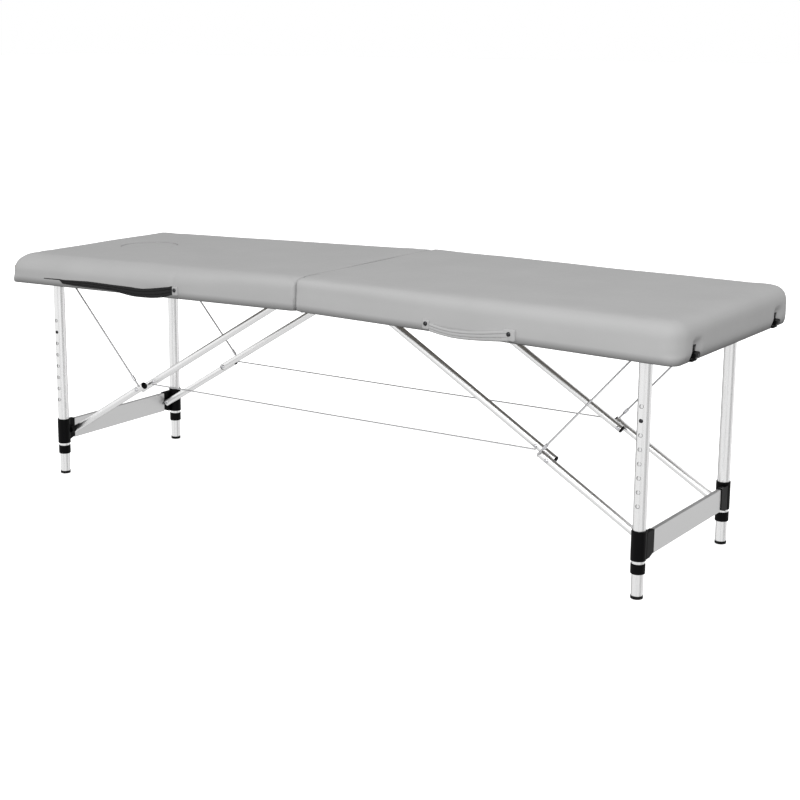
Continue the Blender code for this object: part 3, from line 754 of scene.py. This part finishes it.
def make_strap(name, side, look, thick, steps=72):
    """A padded strap with two sewn lines, laid along the side of the padding."""
    bm = bmesh.new()
    loops = []
    for k in range(steps + 1):
        t = k / steps
        u, mid, half = strap_line(side, t)
        lift = 0.0004 * math.sin(math.pi * t) + SIDE_CROWN * 0.9
        section = strap_section(half, thick * min(1.0, half / 0.006), 0.35)
        front = [(side * u, HANDLE_V - lift - out, mid + up) for up, out in section]
        back = [(side * u, HANDLE_V - lift + 0.0008, mid + up) for up, out in section[-2:0:-1]]
        loops.append(front + back)
    skin(bm, loops)
    strap = from_bmesh(name, bm, 60)
    paint(strap, look)
    strap.matrix_world = half_matrix(side)
    return strap


def make_tab(name, side, place, look):
    """The folded end of a strap, held by its screw."""
    u, w, half_u, half_w = place
    bm = bmesh.new()
    loops = []
    for d, out in ((0.0, 0.0023), (0.0, 0.0062), (0.0012, 0.0082), (0.0030, 0.0088)):
        loop = []
        for t in turns(48):
            across = (half_u - d) * max(-1, min(1, 1.35 * math.cos(t)))
            up = (half_w - d) * max(-1, min(1, 1.25 * math.sin(t)))
            loop.append((side * u + across, HANDLE_V - out, w + up))
        loops.append(loop)
    skin(bm, loops)
    tab = from_bmesh(name, bm, 50)
    paint(tab, look)
    tab.matrix_world = half_matrix(side)
    return tab


def make_handle(label, side, looks):
    # The head strap is black as painted shade; the foot strap keeps the grey vinyl.
    look = looks["vinyl"] if side > 0 else looks["webbing"]
    strap = make_strap(f"{label}_strap", side, look, STRAP_THICK[side])
    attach(strap, f"{label}_half")
    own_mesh(strap)
    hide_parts(f"{label}_handle")
    for k, place in enumerate(TABS[side]):
        tab = make_tab(f"{label}_tab_{k}", side, place, looks["vinyl"])
        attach(tab, f"{label}_half")
        base = on_half(side, place[0], HANDLE_V - 0.0090, place[1] + 0.0022)
        screw = rivet(f"{label}_screw_{k}", base, (0, -1, 0), 0.0050, 0.0030)
        paint(screw, looks["black_chrome"])
        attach(screw, f"{label}_half")


# ---------------------------------------------------------------- legs, braces, cables
def along_brace(origin, distance, v, side, slope=SLOPE):
    """A world point on a brace, measured from its pivot toward the table's end."""
    return Vector(
        (side * (origin[0] + distance * math.cos(slope)), v, origin[1] - distance * math.sin(slope))
    )


def dress_braces(label, side, looks):
    """Plugs in the ends of the braces, and the heads of their rivets."""
    upper_length = span(BRACE_TOP, KNEE)
    outward = Vector((side * math.cos(SLOPE), 0, -math.sin(SLOPE)))
    out, into = BRACE_R - RIVET_SUNK, -BRACE_R + RIVET_SUNK
    for name, edge in SIDES:
        tag = f"{label}_{name}"
        upper_tip = along_brace(BRACE_TOP, upper_length + UPPER_KNEE_TAIL, edge * BRACE_UP_V, side)
        lower_tip = along_brace(KNEE, -LOWER_KNEE_TAIL, edge * BRACE_LOW_V, side)
        for brace, tip, way in (("upper", upper_tip, outward), ("lower", lower_tip, -outward)):
            cap = plug_cap(f"{tag}_{brace}_plug", tip, way, BRACE_R)
            paint(cap, looks["plastic"])
            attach(cap, f"{tag}_{brace}_brace")
        knee = along_brace(KNEE, 0, edge * (BRACE_LOW_V + out), side)
        inner = along_brace(KNEE, 0, edge * (BRACE_UP_V + into), side)
        hook = along_brace(KNEE, -CABLE_HOOK, edge * (BRACE_UP_V + out), side)
        foot = Vector((side * BRACE_FOOT[0], edge * (BRACE_LOW_V + into), BRACE_FOOT[1]))
        heads = (
            ("knee_rivet", knee, edge, 0.0055, 0.0030, "lower"),
            ("knee_rivet_inside", inner, -edge, 0.0055, 0.0026, "upper"),
            ("cable_rivet", hook, edge, 0.0045, 0.0022, "upper"),
            ("foot_rivet", foot, -edge, 0.0055, 0.0026, "lower"),
        )
        for kind, place, way, radius, height, brace in heads:
            head = rivet(f"{tag}_{kind}", place, (0, way, 0), radius, height)
            paint(head, looks["steel"])
            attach(head, f"{tag}_{brace}_brace")


def rope(name, start, end, radius, pitch):
    """Wire rope of three strands laid round a straight line."""
    start, end = Vector(start), Vector(end)
    run = end - start
    length = run.length
    across = frame_along(run)
    bm = bmesh.new()
    steps = max(8, int(length / pitch * 6))
    strand, lay = radius * 0.54, radius * 0.46
    ring = [across @ Vector((strand * math.cos(b), strand * math.sin(b), 0)) for b in turns(6)]
    for s in range(3):
        loops = []
        for k in range(steps + 1):
            t = k / steps
            a = math.tau * (length * t / pitch + s / 3)
            spot = start + run * t + across @ Vector((lay * math.cos(a), lay * math.sin(a), 0))
            loops.append([spot + point for point in ring])
        skin(bm, loops)
    return from_bmesh(name, bm, 80)


def make_top_cables(label, side, looks):
    for name, edge in SIDES:
        v = edge * TOP_CABLE_V[side]
        start = on_half(side, TOP_CABLE_START[0], v, TOP_CABLE_START[1])
        end = Vector((side * TOP_CABLE_END[0], v, TOP_CABLE_END[1]))
        wire = rope(f"{label}_{name}_top_wire", start, end, TOP_ROPE_R, TOP_ROPE_PITCH)
        paint(wire, looks["cable"])
        sleeve_a = start.lerp(end, 0.90)
        sleeve_b = start.lerp(end, 0.94)
        sleeve = lathe(
            f"{label}_{name}_crimp",
            [(0.0022, 0), (0.0038, 0.0004), (0.0038, 0.0150), (0.0022, 0.0154)],
            sleeve_a,
            sleeve_b - sleeve_a,
            20,
        )
        paint(sleeve, looks["steel"])
        for piece in (wire, sleeve):
            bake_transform(piece)
        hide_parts(f"{label}_{name}_top_cable")


def make_long_cables(looks):
    x, z = LONG_CABLE_END
    for name, edge in SIDES:
        v = edge * LONG_CABLE_V
        for label, side in HALVES:
            middle, end = (0, v, z - 0.001), (side * x, v, z)
            wire = rope(f"{name}_{label}_long_wire", middle, end, LONG_ROPE_R, LONG_ROPE_PITCH)
            paint(wire, looks["cable"])
            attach(wire, "centre")
            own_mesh(wire)
            if side > 0:
                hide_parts(f"{name}_long_cable")


def dress_latches(looks):
    """Screws in the head end's latch plates, and rivets in the foot end's catches."""
    for name, edge in SIDES:
        place = on_half(-1, HALF_LENGTH + 0.0028, edge * LATCH_V, 0.0185)
        for k, shift in enumerate((-0.010, 0.010)):
            spot = place + Vector((0, shift, 0))
            head = rivet(f"{name}_latch_screw_{k}", spot, (-1, 0, 0), 0.0028, 0.0014)
            paint(head, looks["steel"])
            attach(head, "head_half")
        for k, (proud, height) in enumerate(((0.0121, 0.0172), (0.0023, 0.0310))):
            place = on_half(1, HALF_LENGTH + proud, edge * LATCH_V, height)
            head = rivet(f"{name}_catch_rivet_{k}", place, (1, 0, 0), 0.0034, 0.0016)
            paint(head, looks["black_chrome"])
            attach(head, "foot_half")


def ring_hole(name, place, direction, radius):
    """A dark rim set in a drilled hole: painted shade for the shadow inside the hole."""
    outer = radius + 0.0006
    profile = [(radius, -0.0004), (outer, -0.0002), (outer, 0.0003), (radius, 0.0002)]
    bm = bmesh.new()
    turn = Matrix.Translation(place) @ frame_along(direction)
    loops = []
    for r, h in profile:
        loops.append([turn @ Vector((r * math.cos(t), r * math.sin(t), h)) for t in turns(24)])
    skin(bm, loops, closed=True)
    return from_bmesh(name, bm)


def dress_legs(label, side, looks):
    """Dark rims round each leg's row of locking holes, as painted shade for the shadow inside them."""
    for name, edge in SIDES:
        for k in range(HOLE_COUNT):
            z = TOP_HOLE_Z - k * HOLE_SPACING
            place = Vector((side * LEG_TOP[0], edge * (LEG_V + LEG_R - 0.0004), z))
            rim = ring_hole(f"{label}_{name}_hole_rim_{k}", place, (0, edge, 0), 0.0041)
            # Painted shade: each dark rim stands in for the shadow inside its hole.
            paint(rim, looks["black_chrome"])
            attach(rim, f"{label}_legs")


def paint_nodes(looks):
    kinds = (
        ("outer_tube", "aluminium"), ("inner_tube", "aluminium"), ("upper_brace", "aluminium"),
        ("lower_brace", "aluminium"), ("crossbar", "bar"), ("frame", "rail"), ("deck", "plywood"),
        ("connector", "plastic"), ("collar", "plastic"), ("foot_cap", "rubber"),
        ("snap_button", "black_chrome"), ("hinge", "steel"), ("latch_base", "steel"),
        ("latch_catch", "plastic"), ("latch_lever", "plastic"),
    )
    for name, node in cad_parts.items():
        for part, look in kinds:
            if part in name:
                paint(node, looks[look])


# ---------------------------------------------------------------- stage
def make_stage():
    """A pale floor that glows for the camera only: the table neither mirrors it nor is lit by it."""
    bm = bmesh.new()
    bmesh.ops.create_grid(bm, x_segments=2, y_segments=2, size=40)
    floor = from_bmesh("floor", bm)
    floor.location.z = -0.0006
    m = Nodes("pale_floor")
    m.tint(m.noise(m.coords(), 2, 2), (0.93, 0.93, 0.93), (0.95, 0.95, 0.95))
    look = m.surface(Roughness=0.9)
    m.shader.inputs["Emission Color"].default_value = (1, 1, 1, 1)
    m.shader.inputs["Emission Strength"].default_value = FLOOR_GLOW
    paint(floor, look)
    floor.visible_diffuse = False
    floor.visible_glossy = False


def area_light(name, place, target, size, power):
    light = bpy.data.lights.new(name, "AREA")
    light.size = size
    light.energy = power
    lamp = bpy.data.objects.new(name, light)
    bpy.context.scene.collection.objects.link(lamp)
    lamp.location = place
    lamp.rotation_euler = (Vector(target) - Vector(place)).to_track_quat("-Z", "Y").to_euler()


KEY_PLACE, KEY_TARGET = (1.9, -3.4, 2.2), (0, 0, 0.5)
KEY_SIZE, KEY_POWER = 2.5, 76
FLOOR_GLOW = 0.62
SKY_BRIGHT = (-0.35, -0.80, 0.35)  # the way to the brightest part of the sky
SKY_LOW, SKY_HIGH = 0.68, 1.07
GROUND_SHARE = 0.10
# What metal mirrors: its brightness, and the ways to its darker places.
MIRROR_LOW, MIRROR_HIGH = 0.18, 1.08
MIRROR_GROUND, MIRROR_FRONT, MIRROR_RIGHT = 0.75, 0.74, 0.50
BEHIND, FRONT, RIGHT = (-0.58, 0.79, -0.10), (0.30, -0.95, 0), (1.0, 0.05, 0)
CAMERA_PLACE = (2.1906, -3.2206, 1.1895)
CAMERA_YAW, CAMERA_PITCH, CAMERA_ROLL = map(math.radians, (-35.716, 12.152, -0.08))
SENSOR, LENS = 36, 72.702  # millimetres
SHIFT_X, SHIFT_Y = 0.0895, -0.039625


class World:
    """A short way to write the world's nodes, from the direction of a ray."""

    def __init__(self):
        self.world = bpy.data.worlds.new("studio")
        self.world.use_nodes = True
        self.tree = self.world.node_tree
        self.way = self.tree.nodes.new("ShaderNodeTexCoord").outputs["Generated"]
        self.path = self.tree.nodes.new("ShaderNodeLightPath").outputs

    def toward(self, direction):
        node = self.tree.nodes.new("ShaderNodeVectorMath")
        node.operation = "DOT_PRODUCT"
        node.inputs[1].default_value = Vector(direction).normalized()
        self.tree.links.new(self.way, node.inputs[0])
        return node.outputs["Value"]

    def ramp(self, value, start, end, low, high):
        node = self.tree.nodes.new("ShaderNodeMapRange")
        node.interpolation_type = "SMOOTHSTEP"
        for key, number in (("From Min", start), ("From Max", end), ("To Min", low), ("To Max", high)):
            node.inputs[key].default_value = number
        self.tree.links.new(value, node.inputs["Value"])
        return node.outputs["Result"]

    def times(self, a, b):
        node = self.tree.nodes.new("ShaderNodeMath")
        node.operation = "MULTIPLY"
        self.tree.links.new(a, node.inputs[0])
        self.tree.links.new(b, node.inputs[1])
        return node.outputs["Value"]

    def choose(self, ray, otherwise, chosen):
        node = self.tree.nodes.new("ShaderNodeMix")
        self.tree.links.new(self.path[ray], node.inputs[0])
        for value, slot in ((otherwise, node.inputs[2]), (chosen, node.inputs[3])):
            if isinstance(value, float):
                slot.default_value = value
            else:
                self.tree.links.new(value, slot)
        return node.outputs[0]


def make_world():
    """Soft light, strongest from the near left, with darker places for metal to mirror."""
    w = World()
    height = w.toward((0, 0, 1))
    sky = w.ramp(w.toward(SKY_BRIGHT), -1.0, 1.0, SKY_LOW, SKY_HIGH)
    sky = w.times(sky, w.ramp(height, -0.85, -0.05, GROUND_SHARE, 1.0))
    mirror = w.ramp(w.toward(BEHIND), 0.58, 0.95, MIRROR_HIGH, MIRROR_LOW)
    mirror = w.times(mirror, w.ramp(height, -0.50, 0.0, MIRROR_GROUND, 1.0))
    mirror = w.times(mirror, w.ramp(w.toward(FRONT), 0.90, 0.995, 1.0, MIRROR_FRONT))
    mirror = w.times(mirror, w.ramp(w.toward(RIGHT), 0.82, 0.99, 1.0, MIRROR_RIGHT))
    light = w.choose("Is Camera Ray", w.choose("Is Glossy Ray", sky, mirror), 1.0)
    background = w.tree.nodes["Background"]
    background.inputs["Color"].default_value = (1, 1, 1, 1)
    w.tree.links.new(light, background.inputs["Strength"])
    bpy.context.scene.world = w.world


def make_lights():
    make_world()
    area_light("key", KEY_PLACE, KEY_TARGET, KEY_SIZE, KEY_POWER)


def make_camera():
    data = bpy.data.cameras.new("camera")
    data.sensor_width, data.lens = SENSOR, LENS
    data.shift_x, data.shift_y = SHIFT_X, SHIFT_Y
    camera = bpy.data.objects.new("camera", data)
    bpy.context.scene.collection.objects.link(camera)
    camera.location = CAMERA_PLACE
    turn = Matrix.Rotation(-CAMERA_YAW, 4, "Z") @ Matrix.Rotation(math.pi / 2 - CAMERA_PITCH, 4, "X")
    camera.rotation_euler = (turn @ Matrix.Rotation(CAMERA_ROLL, 4, "Z")).to_euler()
    bpy.context.scene.camera = camera


def main():
    looks = make_materials()
    paint_nodes(looks)
    for label, side in HALVES:
        make_cushion(label, side, looks["cover"])
        make_hem(label, side, looks["hem"])
        dress_legs(label, side, looks)
        make_handle(label, side, looks)
        dress_braces(label, side, looks)
        make_top_cables(label, side, looks)
    make_plug(looks["vinyl"])
    make_long_cables(looks)
    dress_latches(looks)
    make_stage()
    make_lights()
    make_camera()
    bpy.context.scene.view_settings.view_transform = "Standard"


main()
